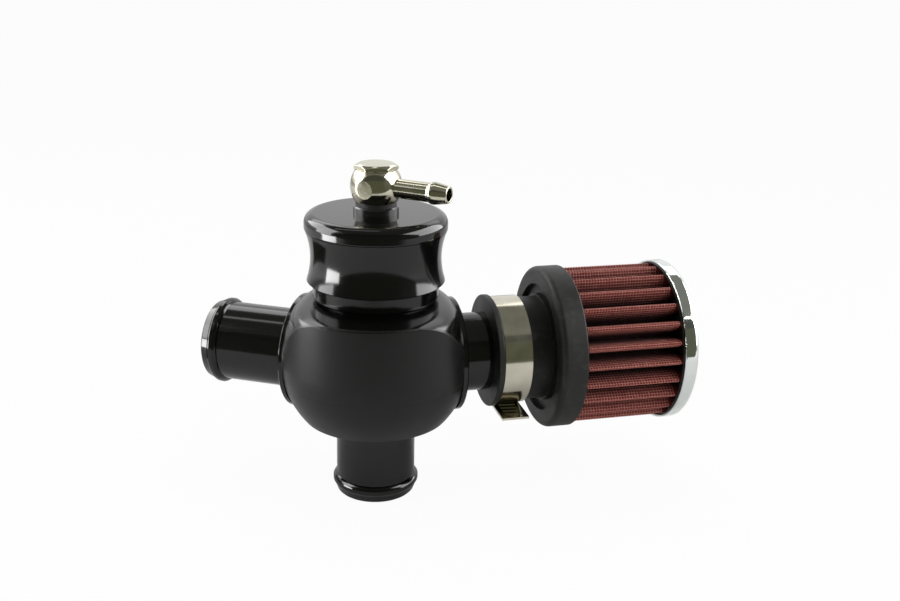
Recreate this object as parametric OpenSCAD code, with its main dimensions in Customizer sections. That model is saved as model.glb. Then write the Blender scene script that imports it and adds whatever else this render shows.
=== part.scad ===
// Dual port blow off valve with hose tails, swivel hose nipple and clamped breather filter.
// Millimetres. Origin at the centre of the inlet mouth, +Z up along the valve axis,
// +X towards the vent port and its filter, -Y towards the plain front of the body.

/* [Body] */
// Radius of the round body wall and of its ball shaped underside
body_r = 30; // [29.5:0.25:33]
// Height of the body from its underside to its shoulder
body_h = 38; // [37:0.5:44]
// Radius of the flat underside
underside_r = 23; // [21:0.25:25]
// Height of the side port axis above the underside
port_h = 18.1; // [17.6:0.1:19]
// Angle by which each side port is swept back from the X axis
port_sweep = 15; // [0:1:20]
// Distance by which the side port faces lie inside the round body wall
port_inset = 6; // [4:0.25:7]
// Radius of the ball that trims each side of the body
side_ball_r = 43; // [42:0.2:50]
// Radius of the body edge at each port face, outside the flange
port_land_r = 18.6; // [18.6:0.1:20]
// Rounding of the shoulder rim
rim_round = 0.8; // [0.2:0.1:1.5]
// Rounding between the shoulder and each ball trimmed side
side_round = 6; // [2:0.1:8]
// Radius of the piston bore
bore_r = 15; // [14:0.25:15.5]
// Thickness of the floor that carries the valve seat
floor_t = 7; // [6.5:0.25:7.5]
// Radius of the threaded neck
neck_r = 17.4; // [17:0.1:17.6]
// Height of the threaded neck above the shoulder
neck_h = 11; // [10.5:0.5:12]
// Depth of the relief for the neck thread
thread_d = 0.5; // [0.3:0.05:0.7]
// Length of that relief
thread_len = 6; // [4:0.5:6.5]

/* [Hose tails] */
// Outer radius of the hose tails
tail_r = 12.5; // [12:0.1:12.7]
// Bore radius of the hose tails
tail_bore_r = 10.5; // [9:0.1:10.6]
// Radius of the passages that lead from the tails to the piston bore
passage_r = 10; // [8.5:0.1:10.2]
// Length of the inlet tail below the body
inlet_len = 26.3; // [22:0.1:36]
// Length of the side tails beyond the port faces
side_len = 30.4; // [28:0.1:40]
// Radius of the hose bead
bead_r = 13.65; // [13:0.05:14]
// Distance of the bead crest from the tail end
bead_back = 3.8; // [3:0.1:5]
// Rounding of the bead
bead_round = 2; // [1:0.1:2.5]
// Length of the cylindrical land on the bead crest
bead_land = 1; // [0.5:0.1:1.4]
// Outer radius of the tail end
tip_r = 12; // [11.4:0.05:12.2]
// Edge rounding of the tail end
tip_edge = 0.4; // [0.2:0.05:0.6]
// Radius of the side tail flanges
flange_r = 18; // [17:0.1:18.5]
// Radius of the inlet tail flange
inlet_flange_r = 16; // [15:0.1:18]
// Thickness of the flanges
flange_t = 1.6; // [1:0.1:2.5]
// Chamfer on the rim of the flanges
flange_chamfer = 0.35; // [0.1:0.05:0.6]
// Radius of the spigot that enters the body
spigot_r = 13; // [12.8:0.1:13.6]
// Length of the spigot
spigot_len = 4.8; // [4.4:0.1:5]
// Section radius of the tail O-rings
tail_ring_r = 0.75; // [0.5:0.05:0.8]
// Distance of the O-ring groove from the flange seat
groove_back = 1.4; // [1:0.1:1.8]

/* [Piston] */
// Height of the piston
piston_h = 23; // [22:0.5:26]
// Thickness of the piston crown
crown_t = 3.4; // [3:0.1:5]
// Wall of the piston skirt
skirt_wall = 2.6; // [2.2:0.1:3]
// Radial thickness of the guide rings
guide_t = 1.2; // [0.8:0.1:1.5]
// Width of the guide rings
guide_w = 2.2; // [1.5:0.1:3]
// Distance of the guide rings from the piston ends
guide_inset = 3.8; // [3.6:0.1:5]
// Width of the face seal
seal_w = 2.6; // [2:0.1:3]
// Thickness of the face seal
seal_t = 1.5; // [1:0.1:1.8]
// Distance of the face seal from the piston wall
seal_inset = 1; // [0.8:0.1:1.4]

/* [Spring] */
// Mean radius of the spring
spring_r = 10.2; // [9.5:0.1:10.6]
// Wire diameter of the spring
wire_d = 1.7; // [1.2:0.1:2]
// Number of turns
spring_turns = 8; // [6:1:10]
// Thickness of the spring seat rim
spring_seat_t = 2; // [1.5:0.1:3]
// Height of the centring boss on the spring seat
seat_boss_h = 4; // [2:0.5:6]
// Gap between the boss and the spring
seat_boss_gap = 0.3; // [0.2:0.1:0.8]

/* [Cap] */
// Height of the cap
cap_h = 26.7; // [24:0.1:32]
// Radius of the cap at its lower edge and under the lip
cap_r = 21.2; // [20.8:0.1:22]
// Radius of the waist of the cap
waist_r = 20; // [19.8:0.1:20.6]
// Radius of the lip
lip_r = 21.8; // [21.4:0.1:23]
// Height of the lip
lip_h = 4.9; // [4:0.1:6]
// Rounding of the top edge
lip_round = 3; // [1.5:0.1:3.6]
// Radius of the bead under the lip
cap_bead_r = 22; // [21.8:0.1:23]
// Section radius of that bead
cap_bead_round = 0.75; // [0.5:0.05:0.9]
// Radius of the skirt below the cap
skirt_r = 19.4; // [19.1:0.1:19.8]
// Height of the skirt
skirt_h = 5.4; // [4:0.1:6]
// Chamfer of the skirt edge
skirt_chamfer = 0.8; // [0.3:0.1:1]
// Gap between the skirt and the shoulder
skirt_gap = 0.7; // [0.7:0.1:2]
// Thickness of the cap top
cap_top_t = 4.5; // [4:0.1:6]
// Radius of the spring chamber
chamber_r = 14.5; // [13:0.1:15]
// Depth left above the neck for screwing the cap down
screw_room = 3; // [2:0.5:4]
// Section radius of the cap O-ring
cap_ring_r = 0.65; // [0.5:0.05:0.8]
// Distance of the cap O-ring groove below the neck end
cap_ring_drop = 3.2; // [2.5:0.1:4]
// Depth of the fine groove under the lip
lip_groove_d = 0.7; // [0.6:0.05:0.9]
// Height of the fine groove under the lip
lip_groove_h = 0.15; // [0.1:0.05:0.4]
// Edge chamfer of the cap and of the small black ring
edge_break = 0.4; // [0.2:0.05:0.6]

/* [Hose nipple] */
// Direction of the nipple about the valve axis
nipple_turn = -25; // [-180:1:180]
// Radius of the black seat ring
seat_ring_r = 6.9; // [6.4:0.1:8]
// Height of the black seat ring
seat_ring_h = 2.2; // [1.5:0.1:4]
// Radius of the sealing washer
washer_r = 6.2; // [5.6:0.1:7]
// Height of the sealing washer
washer_h = 1.2; // [1:0.1:3]
// Largest radius of the swivel body
swivel_r = 7.8; // [7.4:0.1:9]
// Height of the swivel body
swivel_h = 9.6; // [8.4:0.1:11]
// Height of the nipple axis above the swivel underside
nipple_h = 4.6; // [3.5:0.1:5]
// Profile radius of the swivel body
swivel_round = 8.6; // [8:0.1:12]
// Radius of the round flats on the swivel body
swivel_flat_r = 2.8; // [2:0.1:3.2]
// Radius of the bolt shank
shank_r = 3.9; // [3.6:0.1:4.2]
// Depth of the air groove inside the swivel body
air_groove_d = 1.2; // [0.6:0.1:1.5]
// Spare height of the air groove above and below the nipple bore
air_groove_spare = 0.2; // [0.1:0.05:0.4]
// Distance of the bolt end from the spring chamber
bolt_inset = 0.6; // [0.3:0.1:1.2]
// Bore radius of the bolt
bolt_bore_r = 1.6; // [1:0.1:2]
// Width across flats of the bolt head
head_flats = 11.6; // [11:0.1:14]
// Height of the bolt head
head_h = 1.7; // [1.5:0.1:4]
// Height of the chamfer on the bolt head
head_chamfer = 0.9; // [0.3:0.1:1.2]
// Radius of the flat face on the bolt head
head_face_r = 5.3; // [4.5:0.1:5.4]
// Distance of the nipple end from the valve axis
nipple_len = 24.3; // [18:0.1:32]
// Radius of the nipple stem
stem_r = 2.9; // [2.6:0.05:3.2]
// Radius of the barb crest
barb_r = 3.35; // [3:0.05:3.8]
// Radius of the nipple end
nipple_tip_r = 2.4; // [2.2:0.05:2.6]
// Edge rounding of the nipple end
nipple_edge = 0.2; // [0.1:0.05:0.3]
// Bore radius of the nipple
nipple_bore_r = 1.9; // [1.4:0.05:2]
// Distance of the barb crest from the nipple end
barb_back = 4.9; // [3:0.1:6]
// Length of the cylindrical land on the barb
barb_land = 0.8; // [0.4:0.1:1.5]
// Length of the slope behind the barb
barb_slope = 1; // [0.5:0.1:2]

/* [Filter] */
// Gap between the vent flange and the rubber neck
neck_gap = 9.7; // [8:0.1:12]
// Radius of the lip at the neck end
neck_lip_r = 18; // [17.7:0.1:18.6]
// Length of the lip at the neck end
neck_lip_w = 1.9; // [1:0.1:3]
// Rounding of the rubber edges
rubber_edge = 0.4; // [0.2:0.05:0.5]
// Radius of the rubber neck under the clamp
rubber_neck_r = 16.6; // [16:0.1:17]
// Length of the rubber neck up to the filter base
rubber_neck_len = 17.8; // [16.5:0.1:22]
// Outer radius of the filter base
base_r = 26.2; // [25.9:0.1:29]
// Thickness of the filter base
base_t = 8.3; // [7.6:0.1:11]
// Depth of the pocket that holds the pleats
pocket = 4; // [2.5:0.1:4.5]
// Rounding of the filter base edges
base_round = 1.8; // [0.8:0.1:2.4]
// Width of the ring groove round the neck root
root_groove_w = 3.2; // [2:0.1:4.5]
// Depth of the ring groove
root_groove_d = 1.8; // [0.8:0.1:2]
// Distance of the ring groove from the neck
root_groove_in = 0.8; // [0.5:0.1:1.5]
// Slack behind the hose bead in the neck
relief_lead = 0.3; // [0.1:0.1:0.8]
// Outer radius of the pleats
media_r = 25.3; // [24.4:0.1:25.4]
// Depth of the pleats
pleat_depth = 7.8; // [5:0.1:7.8]
// Number of pleats
pleats = 28; // [18:1:32]
// Narrowness of the pleat ridges, 1 for an even wave
ridge_narrow = 1; // [0.7:0.1:2.4]
// Visible length of the pleats
media_len = 31.7; // [24:0.1:60]
// Radial thickness of the pleated gauze
media_t = 1.7; // [1.4:0.1:1.7]
// Radius of the inner core
core_r = 15.6; // [15:0.1:15.7]
// Wall of the inner core
core_wall = 0.8; // [0.5:0.1:1.5]
// Number of slots in the inner core
core_slots = 10; // [6:2:14]
// Width of one core slot
core_slot_w = 4.6; // [2:0.1:6]
// Length of the closed core ends
core_end = 5; // [3:0.5:8]
// Radius of the black end ring
end_ring_r = 25.4; // [25.4:0.1:25.6]
// Visible width of the black end ring
end_ring_w = 0.5; // [0.4:0.1:2]
// Outer radius of the end cap
end_cap_r = 26.2; // [26:0.1:29]
// Width of the end cap
end_cap_w = 4.8; // [4:0.1:8]
// Rounding of the end cap rim
end_round = 1.6; // [0.6:0.1:2]
// Depth of the dish in the end cap face
dish_d = 0.8; // [0.3:0.1:1]
// Width of the flat rim round the dish
dish_rim = 3.2; // [2:0.1:5]
// Width of the slope of the dish
dish_slope = 1.2; // [0.5:0.1:2]
// Depth of the end cap pocket that holds the end ring
end_pocket = 1.2; // [0.8:0.1:1.6]
// Inner rim of the end ring inside the core
end_ring_in = 1; // [0.5:0.1:2]

/* [Clamp] */
// Width of the clamp band
band_w = 8.8; // [7:0.1:10]
// Thickness of the clamp band
band_t = 0.7; // [0.5:0.05:1]
// Length of the free band end past the bottom of the neck
band_tail = 16; // [12:0.5:22]
// Gap between the neck lip and the band
band_gap = 0.3; // [0.1:0.1:0.6]
// Depth by which the free band end joins the band
band_join = 0.15; // [0.1:0.05:0.3]
// Pitch of the band notches
notch_pitch = 2.4; // [2:0.1:3]
// Width of one band notch
notch_w = 1.1; // [0.8:0.1:1.3]
// Length of one band notch
notch_len = 5.6; // [4:0.1:6]
// Depth of the notches in each side of the band
notch_d = 0.28; // [0.1:0.02:0.3]
// Slant of the band notches
notch_slant = 6; // [0:1:12]
// Plain length at the free band end
notch_margin = 2.4; // [1.5:0.1:4]
// Radius of the clamp screw
screw_r = 1.7; // [1.6:0.1:2.4]
// Length of the screw housing
housing_len = 11; // [9:0.5:14]
// Wall of the screw housing
housing_wall = 0.7; // [0.6:0.1:1.2]
// Distance of the housing centre behind the bottom of the neck
housing_back = 4; // [2:0.5:5]
// Width across flats of the screw head
screw_flats = 2.8; // [2.2:0.1:2.8]
// Length of the screw head
screw_head = 3.6; // [3:0.1:6]
// Width of the driver slot
driver_slot_w = 0.8; // [0.6:0.1:1]
// Depth of the driver slot
driver_slot_d = 1.2; // [0.8:0.1:2]

/* [Fits] */
// Radial running clearance of sliding and turning pieces
run_fit = 0.08; // [0.04:0.01:0.1]
// Radial clearance of pieces that stay put
seat_fit = 0.05; // [0.02:0.01:0.1]
// Axial clearance between turning faces
face_fit = 0.1; // [0.05:0.05:0.2]

/* [Hidden] */
$fn = 96;
over = 0.5;
hex_half = 30;
pleat_steps = 12;
port_face = body_r - port_inset;
port_z = inlet_len + port_h;
shoulder_z = inlet_len + body_h;
neck_top_z = shoulder_z + neck_h;
seat_z = inlet_len + floor_t;
ball_z = inlet_len + sqrt(body_r * body_r - underside_r * underside_r);
side_ball_back = sqrt(side_ball_r * side_ball_r - port_land_r * port_land_r) - port_face;
shoulder_h = shoulder_z - port_z;
socket_r = spigot_r + seat_fit;
socket_d = spigot_len + face_fit;
tail_groove_d = 2 * tail_ring_r + seat_fit;
piston_r = bore_r - run_fit - seat_fit;
guide_r = bore_r - run_fit;
piston_z = seat_z + face_fit;
skirt_in_r = piston_r - skirt_wall;
seal_out_r = piston_r - seal_inset;
cap_z = shoulder_z + skirt_gap;
cap_top_z = cap_z + cap_h;
cap_thread_r = neck_r + run_fit;
cap_thread_top = neck_top_z + screw_room;
ceiling_z = cap_top_z - cap_top_t;
spring_seat_z = ceiling_z - face_fit - spring_seat_t;
spring_seat_r = chamber_r - run_fit;
seat_boss_r = spring_r - wire_d / 2 - seat_boss_gap;
seat_hole_r = 2 * bolt_bore_r;
spring_z0 = piston_z + crown_t + seat_fit;
spring_z1 = spring_seat_z - seat_fit;
cap_groove_d = 2 * cap_ring_r + seat_fit;
cap_groove_z = neck_top_z - cap_ring_drop;
lip_z = cap_h - lip_h;
bead_z = lip_z - lip_groove_h - cap_bead_round;
cove_low = skirt_h + edge_break;
cove_high = bead_z - cap_bead_round / 2;
cove_half = (cove_high - cove_low) / 2;
cove_depth = cap_r - waist_r;
cove_r = (cove_half * cove_half + cove_depth * cove_depth) / (2 * cove_depth);
washer_z = cap_top_z + seat_ring_h;
swivel_z = washer_z + washer_h + face_fit;
nipple_z = swivel_z + nipple_h;
head_z = swivel_z + swivel_h + face_fit;
hole_r = shank_r + seat_fit;
swivel_bore_r = shank_r + run_fit;
air_groove_h = 2 * nipple_bore_r + 2 * air_groove_spare;
neck_z = port_face + flange_t + neck_gap;
base_z = neck_z + rubber_neck_len;
media_z = base_z + base_t - pocket;
end_ring_z = base_z + base_t + media_len;
end_cap_z = end_ring_z + end_ring_w;
media_end = end_cap_z + end_pocket - 2 * seat_fit;
end_ring_end = end_cap_z + end_pocket - seat_fit;
core_in_r = core_r - core_wall;
tail_end = port_face + side_len;
grip_r = tail_r + seat_fit;
relief_r = bead_r + seat_fit;
relief_z = tail_end - bead_back - bead_round - relief_lead;
band_z = neck_z + neck_lip_w + band_gap;
band_r = rubber_neck_r + seat_fit;
tail_x = band_r + band_t;
housing_x = tail_x - band_join + band_t + seat_fit;
worm_x = housing_x + face_fit + screw_r;
worm_hole_r = screw_r + run_fit;
housing_arch_r = worm_hole_r + housing_wall;

// Places a part that is drawn along +Z on a side port, 1 for the vent and -1 for the recirculation port.
module on_port(side) {
    turn = side > 0 ? port_sweep : 180 - port_sweep;
    translate([0, 0, port_z])
        rotate([0, 0, turn])
            rotate([0, 90, 0])
                children();
}

// Places a part that is drawn along +Z, away from the body, on the inlet.
module on_inlet() {
    translate([0, 0, inlet_len])
        rotate([180, 0, 0])
            children();
}

// Plain ring between two radii.
module ring(outer, inner, height) {
    difference() {
        cylinder(r = outer, h = height);
        translate([0, 0, -over])
            cylinder(r = inner, h = height + 2 * over);
    }
}

// Round ring with a round section.
module o_ring(centre_r, section_r) {
    rotate_extrude()
        translate([centre_r, 0])
            circle(r = section_r, $fn = 32);
}

// Outer form of the body: round wall, ball underside and ball trimmed sides.
module body_form() {
    intersection() {
        union() {
            translate([0, 0, ball_z])
                rotate_extrude()
                    difference() {
                        square([body_r, shoulder_z - ball_z]);
                        translate([body_r - rim_round, shoulder_z - ball_z - rim_round])
                            difference() {
                                square(rim_round + over);
                                circle(r = rim_round, $fn = 48);
                            }
                    }
            intersection() {
                translate([0, 0, ball_z])
                    sphere(r = body_r);
                translate([0, 0, inlet_len])
                    cylinder(r = body_r + over, h = ball_z - inlet_len);
            }
        }
        on_port(1)
            side_trim();
        on_port(-1)
            side_trim();
    }
}

// Half section of the ball that trims one side, cut off at the shoulder with a rounded rim.
module side_section() {
    round_y = shoulder_h - side_round;
    round_x = sqrt(pow(side_ball_r - side_round, 2) - round_y * round_y);
    ball_angle = atan2(round_y, round_x);
    reach = side_round + over;
    difference() {
        intersection() {
            circle(r = side_ball_r, $fn = 180);
            translate([0, -side_ball_r])
                square([side_ball_r, side_ball_r + shoulder_h]);
        }
        translate([round_x, round_y])
            difference() {
                polygon([
                    [0, 0],
                    reach * [cos(ball_angle), sin(ball_angle)],
                    reach * [cos(ball_angle) - sin(ball_angle), sin(ball_angle) + cos(ball_angle)],
                    [0, reach]
                ]);
                circle(r = side_round, $fn = 96);
            }
    }
}

// Ball that rounds one side of the body, cut off flat at the port face.
module side_trim() {
    intersection() {
        translate([0, 0, -side_ball_back])
            rotate([0, -90, 0])
                rotate_extrude()
                    side_section();
        translate([0, 0, port_face - 2 * side_ball_r])
            cylinder(r = side_ball_r + over, h = 2 * side_ball_r);
    }
}

// Socket and passage that take one hose tail, drawn outwards along +Z from its seat face at 0.
module tail_socket(reach) {
    translate([0, 0, -socket_d])
        cylinder(r = socket_r, h = socket_d + over);
    translate([0, 0, -reach])
        cylinder(r = passage_r, h = reach);
}

module body() {
    color("#1c1c1d")
        difference() {
            union() {
                body_form();
                translate([0, 0, shoulder_z - over])
                    cylinder(r = neck_r, h = neck_h + over);
            }
            translate([0, 0, seat_z])
                cylinder(r = bore_r, h = neck_top_z - seat_z + over);
            on_inlet()
                tail_socket(floor_t + over);
            for (side = [1, -1])
                on_port(side)
                    translate([0, 0, port_face])
                        tail_socket(port_face);
            translate([0, 0, cap_groove_z])
                ring(neck_r + over, neck_r - cap_groove_d, 2 * cap_ring_r + 2 * seat_fit);
            translate([0, 0, cap_z])
                ring(neck_r + over, neck_r - thread_d, thread_len);
        }
}

// Half section of a hose tail, with its seat face at 0 and its end at len.
module tail_section(len, rim_r) {
    groove_low = -groove_back - 2 * tail_ring_r - 2 * seat_fit;
    difference() {
        union() {
            translate([0, -spigot_len])
                square([spigot_r, spigot_len + over]);
            polygon([
                [0, 0],
                [rim_r, 0],
                [rim_r, flange_t - flange_chamfer],
                [rim_r - flange_chamfer, flange_t],
                [0, flange_t]
            ]);
            square([tail_r, len - bead_back]);
            translate([bead_r - bead_round, len - bead_back])
                circle(r = bead_round, $fn = 64);
            translate([0, len - bead_back - bead_land / 2])
                square([bead_r, bead_land]);
            polygon([
                [0, len - bead_back],
                [bead_r, len - bead_back],
                [tip_r + tip_edge, len - tip_edge],
                [tip_r, len],
                [0, len]
            ]);
        }
        translate([-over, -spigot_len - over])
            square([tail_bore_r + over, len + spigot_len + 2 * over]);
        translate([spigot_r - tail_groove_d, groove_low])
            square([tail_groove_d + over, 2 * tail_ring_r + 2 * seat_fit]);
    }
}

module hose_tail(len, rim_r) {
    rotate_extrude()
        tail_section(len, rim_r);
}

// O-ring in the groove of a hose tail.
module tail_o_ring() {
    translate([0, 0, -groove_back - tail_ring_r - seat_fit])
        o_ring(spigot_r - tail_ring_r, tail_ring_r);
}

module inlet_tail() {
    color("#1a1a1b")
        on_inlet()
            hose_tail(inlet_len, inlet_flange_r);
}

module recirc_tail() {
    color("#1a1a1b")
        on_port(-1)
            translate([0, 0, port_face])
                hose_tail(side_len, flange_r);
}

module vent_tail() {
    color("#1a1a1b")
        on_port(1)
            translate([0, 0, port_face])
                hose_tail(side_len, flange_r);
}

module inlet_o_ring() {
    color("#0d0d0d")
        on_inlet()
            tail_o_ring();
}

module recirc_o_ring() {
    color("#0d0d0d")
        on_port(-1)
            translate([0, 0, port_face])
                tail_o_ring();
}

module vent_o_ring() {
    color("#0d0d0d")
        on_port(1)
            translate([0, 0, port_face])
                tail_o_ring();
}

// Heights of the two guide rings above the piston face.
guide_low = guide_inset;
guide_high = piston_h - guide_inset - guide_w;

module piston() {
    color("#9a9ca0")
        translate([0, 0, piston_z])
            difference() {
                cylinder(r = piston_r, h = piston_h);
                translate([0, 0, crown_t])
                    cylinder(r = skirt_in_r, h = piston_h);
                for (h = [guide_low, guide_high])
                    translate([0, 0, h])
                        ring(piston_r + over, guide_r - guide_t - seat_fit, guide_w);
                translate([0, 0, -over])
                    ring(seal_out_r, seal_out_r - seal_w, seal_t + over);
            }
}

module guide_ring(height) {
    translate([0, 0, piston_z + height + seat_fit])
        ring(guide_r, guide_r - guide_t, guide_w - 2 * seat_fit);
}

module lower_guide_ring() {
    color("#e6e2d6")
        guide_ring(guide_low);
}

module upper_guide_ring() {
    color("#e6e2d6")
        guide_ring(guide_high);
}

module seat_seal() {
    color("#101010")
        translate([0, 0, piston_z])
            ring(seal_out_r - seat_fit, seal_out_r - seal_w + seat_fit, seal_t - seat_fit);
}

// Height of the wire centre after a number of turns: closed end coils, even pitch between them.
function wire_z(turn) =
    spring_z0 + wire_d / 2
    + min(turn, 1) * wire_d
    + max(0, min(1, (turn - 1) / (spring_turns - 2))) * (spring_z1 - spring_z0 - 3 * wire_d)
    + max(0, turn - spring_turns + 1) * wire_d;

// One point of the wire skin.
function wire_point(turn, side_angle) =
    let (reach = spring_r + wire_d / 2 * cos(side_angle))
    [
        reach * cos(360 * turn),
        reach * sin(360 * turn),
        wire_z(turn) + wire_d / 2 * sin(side_angle)
    ];

module spring() {
    turn_steps = 24;
    wire_sides = 8;
    last = spring_turns * turn_steps;
    points = [
        for (i = [0 : last])
            for (j = [0 : wire_sides - 1])
                wire_point(i / turn_steps, 360 * j / wire_sides)
    ];
    walls = [
        for (i = [0 : last - 1])
            for (j = [0 : wire_sides - 1])
                let (k = (j + 1) % wire_sides, a = i * wire_sides, b = a + wire_sides)
                [a + j, a + k, b + k, b + j]
    ];
    first_end = [for (j = [wire_sides - 1 : -1 : 0]) j];
    last_end = [for (j = [0 : wire_sides - 1]) last * wire_sides + j];
    color("#8f9296")
        polyhedron(points = points, faces = concat(walls, [first_end, last_end]), convexity = 10);
}

module spring_seat() {
    color("#b8b9ba")
        translate([0, 0, spring_seat_z])
            difference() {
                union() {
                    cylinder(r = spring_seat_r, h = spring_seat_t);
                    translate([0, 0, -seat_boss_h])
                        cylinder(r = seat_boss_r, h = seat_boss_h + over);
                }
                translate([0, 0, -seat_boss_h - over])
                    cylinder(r = seat_hole_r, h = seat_boss_h + spring_seat_t + 2 * over);
            }
}

// Half section of the cap, with its lower edge at 0.
module cap_section() {
    difference() {
        union() {
            polygon([
                [0, 0],
                [skirt_r - skirt_chamfer, 0],
                [skirt_r, skirt_chamfer],
                [skirt_r, skirt_h + over],
                [0, skirt_h + over]
            ]);
            polygon([
                [0, skirt_h],
                [cap_r - edge_break, skirt_h],
                [cap_r, skirt_h + edge_break],
                [cap_r, bead_z],
                [0, bead_z]
            ]);
            translate([cap_bead_r - cap_bead_round, bead_z])
                circle(r = cap_bead_round, $fn = 32);
            translate([0, bead_z - over])
                square([lip_r - lip_groove_d, lip_z - bead_z + 2 * over]);
            translate([0, lip_z])
                square([lip_r, lip_h - lip_round]);
            translate([0, lip_z])
                square([lip_r - lip_round, lip_h]);
            translate([lip_r - lip_round, cap_h - lip_round])
                circle(r = lip_round, $fn = 96);
        }
        translate([waist_r + cove_r, (cove_low + cove_high) / 2])
            circle(r = cove_r, $fn = 180);
        translate([-over, -over])
            square([cap_thread_r + over, cap_thread_top - cap_z + over]);
        translate([-over, -over])
            square([chamber_r + over, cap_h - cap_top_t + over]);
        translate([-over, -over])
            square([hole_r + over, cap_h + 2 * over]);
    }
}

module cap() {
    color("#1e1f20")
        translate([0, 0, cap_z])
            rotate_extrude()
                cap_section();
}

module cap_o_ring() {
    color("#0d0d0d")
        translate([0, 0, cap_groove_z + cap_ring_r + seat_fit])
            o_ring(neck_r - cap_ring_r, cap_ring_r);
}

module seat_ring() {
    color("#161616")
        translate([0, 0, cap_top_z])
            rotate_extrude()
                polygon([
                    [hole_r, 0],
                    [seat_ring_r, 0],
                    [seat_ring_r, seat_ring_h - edge_break],
                    [seat_ring_r - edge_break, seat_ring_h],
                    [hole_r, seat_ring_h]
                ]);
}

module swivel_washer() {
    color("#121212")
        translate([0, 0, washer_z])
            ring(washer_r, hole_r, washer_h);
}

// Half section of the hose nipple, drawn outwards from the valve axis.
module nipple_section() {
    crest = nipple_len - barb_back;
    polygon([
        [0, 0],
        [stem_r, 0],
        [stem_r, crest - barb_land / 2 - barb_slope],
        [barb_r, crest - barb_land / 2],
        [barb_r, crest + barb_land / 2],
        [nipple_tip_r + nipple_edge, nipple_len - nipple_edge],
        [nipple_tip_r, nipple_len],
        [0, nipple_len]
    ]);
}

module swivel() {
    color("#c9c4b4")
        rotate([0, 0, nipple_turn])
            difference() {
                union() {
                    translate([0, 0, swivel_z])
                        intersection() {
                            translate([0, 0, nipple_z - swivel_z])
                                rotate_extrude()
                                    intersection() {
                                        translate([swivel_r - swivel_round, 0])
                                            circle(r = swivel_round, $fn = 120);
                                        translate([0, -swivel_h])
                                            square([swivel_r + over, 2 * swivel_h]);
                                    }
                            cylinder(r = swivel_r + over, h = swivel_h);
                        }
                    translate([0, 0, nipple_z])
                        rotate([0, 90, 0])
                            rotate_extrude()
                                nipple_section();
                }
                for (flat_turn = [-90, 90])
                    rotate([0, 0, flat_turn])
                        translate([swivel_flat, -swivel_r, swivel_z - over])
                            cube([swivel_r, 2 * swivel_r, swivel_h + 2 * over]);
                translate([0, 0, nipple_z])
                    rotate([0, 90, 0])
                        cylinder(r = nipple_bore_r, h = nipple_len + over);
                translate([0, 0, swivel_z - over])
                    cylinder(r = swivel_bore_r, h = swivel_h + 2 * over);
                translate([0, 0, nipple_z - air_groove_h / 2])
                    cylinder(r = shank_r + air_groove_d, h = air_groove_h);
            }
}

// Distance of the round flats from the valve axis.
swivel_flat = swivel_r - swivel_round + sqrt(swivel_round * swivel_round - swivel_flat_r * swivel_flat_r);

module banjo_bolt() {
    low_z = ceiling_z + bolt_inset;
    color("#cfcabb")
        difference() {
            union() {
                translate([0, 0, low_z])
                    cylinder(r = shank_r, h = head_z - low_z + over);
                translate([0, 0, head_z])
                    intersection() {
                        rotate([0, 0, nipple_turn + hex_half])
                            cylinder(d = head_flats / cos(hex_half), h = head_h, $fn = 6);
                        rotate_extrude()
                            polygon([
                                [0, 0],
                                [head_flats / 2 + head_chamfer, 0],
                                [head_flats / 2 + head_chamfer, head_h - head_chamfer],
                                [head_face_r, head_h],
                                [0, head_h]
                            ]);
                    }
            }
            translate([0, 0, low_z - over])
                cylinder(r = bolt_bore_r, h = nipple_z - low_z + bolt_bore_r + over);
            translate([0, 0, nipple_z])
                rotate([0, 90, nipple_turn])
                    translate([0, 0, -shank_r - over])
                        cylinder(r = bolt_bore_r, h = 2 * shank_r + 2 * over);
        }
}

// Half section of the rubber neck and filter base, along the port axis.
module base_section() {
    base_end = base_z + base_t;
    difference() {
        union() {
            translate([0, neck_z])
                square([rubber_neck_r, rubber_neck_len + over]);
            translate([0, neck_z + rubber_edge])
                square([neck_lip_r, neck_lip_w - 2 * rubber_edge]);
            translate([0, neck_z])
                square([neck_lip_r - rubber_edge, neck_lip_w]);
            for (end = [neck_z + rubber_edge, neck_z + neck_lip_w - rubber_edge])
                translate([neck_lip_r - rubber_edge, end])
                    circle(r = rubber_edge, $fn = 32);
            translate([0, base_z + base_round])
                square([base_r, base_t - base_round - rubber_edge]);
            translate([0, base_z])
                square([base_r - base_round, base_t]);
            translate([base_r - base_round, base_z + base_round])
                circle(r = base_round, $fn = 64);
            translate([base_r - rubber_edge, base_end - rubber_edge])
                circle(r = rubber_edge, $fn = 32);
            translate([0, base_end - over - rubber_edge])
                square([base_r - rubber_edge, over + rubber_edge]);
        }
        translate([rubber_neck_r + root_groove_in, base_z - over])
            square([root_groove_w, root_groove_d + over]);
        translate([-over, neck_z - over])
            square([grip_r + over, rubber_neck_len]);
        translate([-over, relief_z])
            square([relief_r + over, base_end - relief_z + over]);
        translate([-over, media_z - seat_fit])
            square([media_r + seat_fit + over, pocket + over]);
    }
}

module filter_base() {
    color("#333333")
        on_port(1)
            rotate_extrude()
                base_section();
}

// Radius of the gauze at an angle: narrow ridges and broad valleys.
function pleat_r(angle) = media_r - pleat_depth * (1 - pow((1 + cos(angle * pleats)) / 2, ridge_narrow));

// Outline of the gauze, moved in towards the axis by a radial thickness.
function pleat_line(inset, steps) = [
    for (i = [0 : steps - 1])
        let (a = 360 * i / steps)
        (pleat_r(a) - inset) * [cos(a), sin(a)]
];

module filter_media() {
    steps = pleats * pleat_steps;
    color("#8c3531")
        on_port(1)
            translate([0, 0, media_z])
                linear_extrude(height = media_end - media_z, convexity = 10)
                    difference() {
                        polygon(pleat_line(0, steps));
                        polygon(pleat_line(media_t, steps));
                    }
}

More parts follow.
